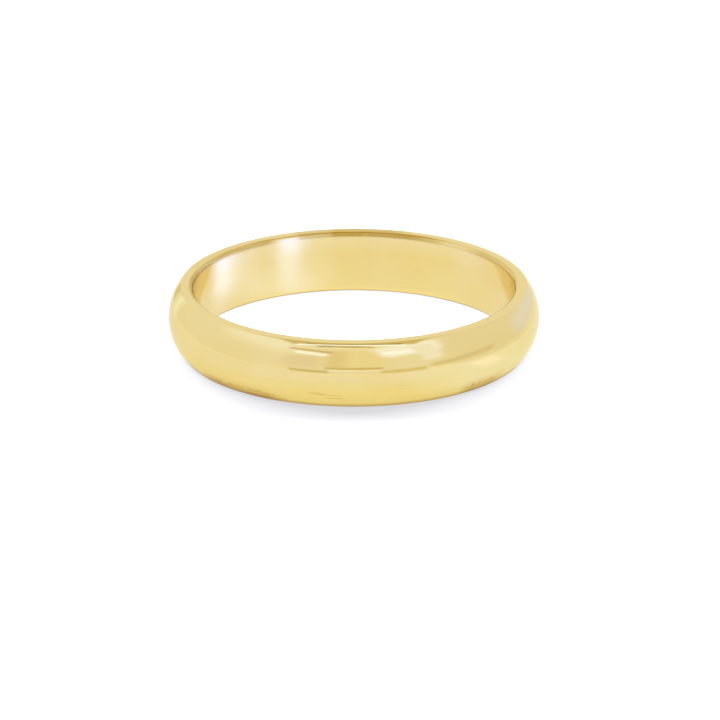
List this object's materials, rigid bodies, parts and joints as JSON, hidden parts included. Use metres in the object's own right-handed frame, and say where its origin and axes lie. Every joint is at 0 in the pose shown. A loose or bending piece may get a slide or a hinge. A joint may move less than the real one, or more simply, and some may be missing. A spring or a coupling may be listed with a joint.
{
  "type": "wedding band",
  "caption": "Plain half-round wedding band in polished yellow gold: a straight bore with rounded edges, a narrow flat edge on each side and a domed outside.",
  "frame": {"origin": "centre of the finger hole, midway between the two flat edges", "axes": "+Z along the finger hole's axis, square to both flat edges; the band is round about +Z, so +X and +Y point in no special direction"},
  "size_m": [0.023, 0.023, 0.004],
  "materials": {
    "gold": "hand-polished yellow gold, mirror bright with faint wear scratches"
  },
  "bodies": {
    "root": {"band": "gold"}
  },
  "joints": []
}
